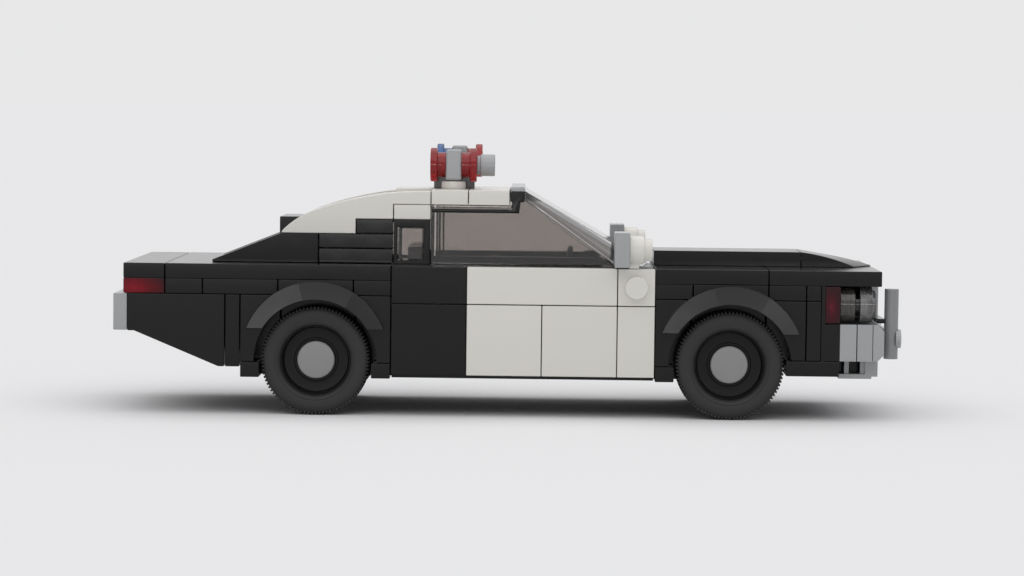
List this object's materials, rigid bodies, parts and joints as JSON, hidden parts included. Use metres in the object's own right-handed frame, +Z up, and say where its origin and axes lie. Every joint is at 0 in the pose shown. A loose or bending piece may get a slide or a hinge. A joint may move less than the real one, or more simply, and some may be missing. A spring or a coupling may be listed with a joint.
{
  "type": "building-brick toy police car",
  "caption": "Black and white toy patrol car of interlocking bricks, with slanted windscreen, roof lamps, push bar and wheels that turn freely on pins.",
  "frame": {"origin": "middle of the footprint, on the floor", "axes": "+X forwards, +Y to the car's left, +Z up"},
  "size_m": [0.1674, 0.0542, 0.0576],
  "materials": {
    "black_plastic": "glossy moulded",
    "dark_grey_plastic": "glossy moulded",
    "white_plastic": "glossy moulded",
    "grey_plastic": "glossy moulded",
    "clear_plastic": "clear moulded",
    "smoke_plastic": "smoked clear moulded",
    "red_clear_plastic": "red clear moulded",
    "blue_clear_plastic": "blue clear moulded",
    "tyre_rubber": "soft matt rubber",
    "rim_plastic": "glossy moulded",
    "cap_plastic": "glossy moulded"
  },
  "bodies": {
    "body": {"chassis_plate": "black_plastic", "axle_holders": "black_plastic", "core_bricks": "black_plastic", "arch_panels": "black_plastic", "arch_flares": "black_plastic", "rear_wedges": "black_plastic", "corner_plates": "black_plastic", "side_plates": "black_plastic", "black_door_tiles": "black_plastic", "white_door_tiles": "white_plastic", "white_columns": "white_plastic", "door_walls": "black_plastic", "waist_plates": "black_plastic", "front_deck": "black_plastic", "boot_deck": "black_plastic", "bonnet_ridge": "black_plastic", "buttresses": "black_plastic", "louvres": "black_plastic", "white_pillars": "white_plastic", "quarter_frames": "black_plastic", "roof_tiles": "white_plastic", "roof_frame": "black_plastic", "windscreen": "smoke_plastic", "screen_cap": "grey_plastic", "cabin_glass": "smoke_plastic", "rear_shelf": "black_plastic", "window_sills": "black_plastic", "seats": "dark_grey_plastic", "dashboard": "black_plastic", "steering_wheel": "black_plastic", "nose_plate": "black_plastic", "side_markers": "red_clear_plastic", "headlamps": "clear_plastic", "grille": "black_plastic", "front_bumper": "grey_plastic", "bumper_corners": "grey_plastic", "push_bar": "grey_plastic", "push_buffers": "grey_plastic", "tail_lamps": "red_clear_plastic", "rear_bumper": "grey_plastic", "mirror_tiles": "grey_plastic", "mirror_rounds": "white_plastic", "light_bases": "white_plastic", "light_cores": "grey_plastic", "red_lamps": "red_clear_plastic", "blue_lamp": "blue_clear_plastic", "light_saddle": "dark_grey_plastic"},
    "front_right_wheel": {"front_right_tyre": "tyre_rubber", "front_right_rim": "rim_plastic", "front_right_cap": "cap_plastic"},
    "front_left_wheel": {"front_left_tyre": "tyre_rubber", "front_left_rim": "rim_plastic", "front_left_cap": "cap_plastic"},
    "rear_right_wheel": {"rear_right_tyre": "tyre_rubber", "rear_right_rim": "rim_plastic", "rear_right_cap": "cap_plastic"},
    "rear_left_wheel": {"rear_left_tyre": "tyre_rubber", "rear_left_rim": "rim_plastic", "rear_left_cap": "cap_plastic"}
  },
  "joints": [
    {"name": "front_right_spin", "type": "hinge", "parent": "body", "child": "front_right_wheel", "pos_m": [0.04725, -0.01985, 0.0116], "axis": [0, 1, 0], "continuous": true},
    {"name": "front_left_spin", "type": "hinge", "parent": "body", "child": "front_left_wheel", "pos_m": [0.04725, 0.01985, 0.0116], "axis": [0, 1, 0], "continuous": true},
    {"name": "rear_right_spin", "type": "hinge", "parent": "body", "child": "rear_right_wheel", "pos_m": [-0.04075, -0.01985, 0.0116], "axis": [0, 1, 0], "continuous": true},
    {"name": "rear_left_spin", "type": "hinge", "parent": "body", "child": "rear_left_wheel", "pos_m": [-0.04075, 0.01985, 0.0116], "axis": [0, 1, 0], "continuous": true}
  ]
}
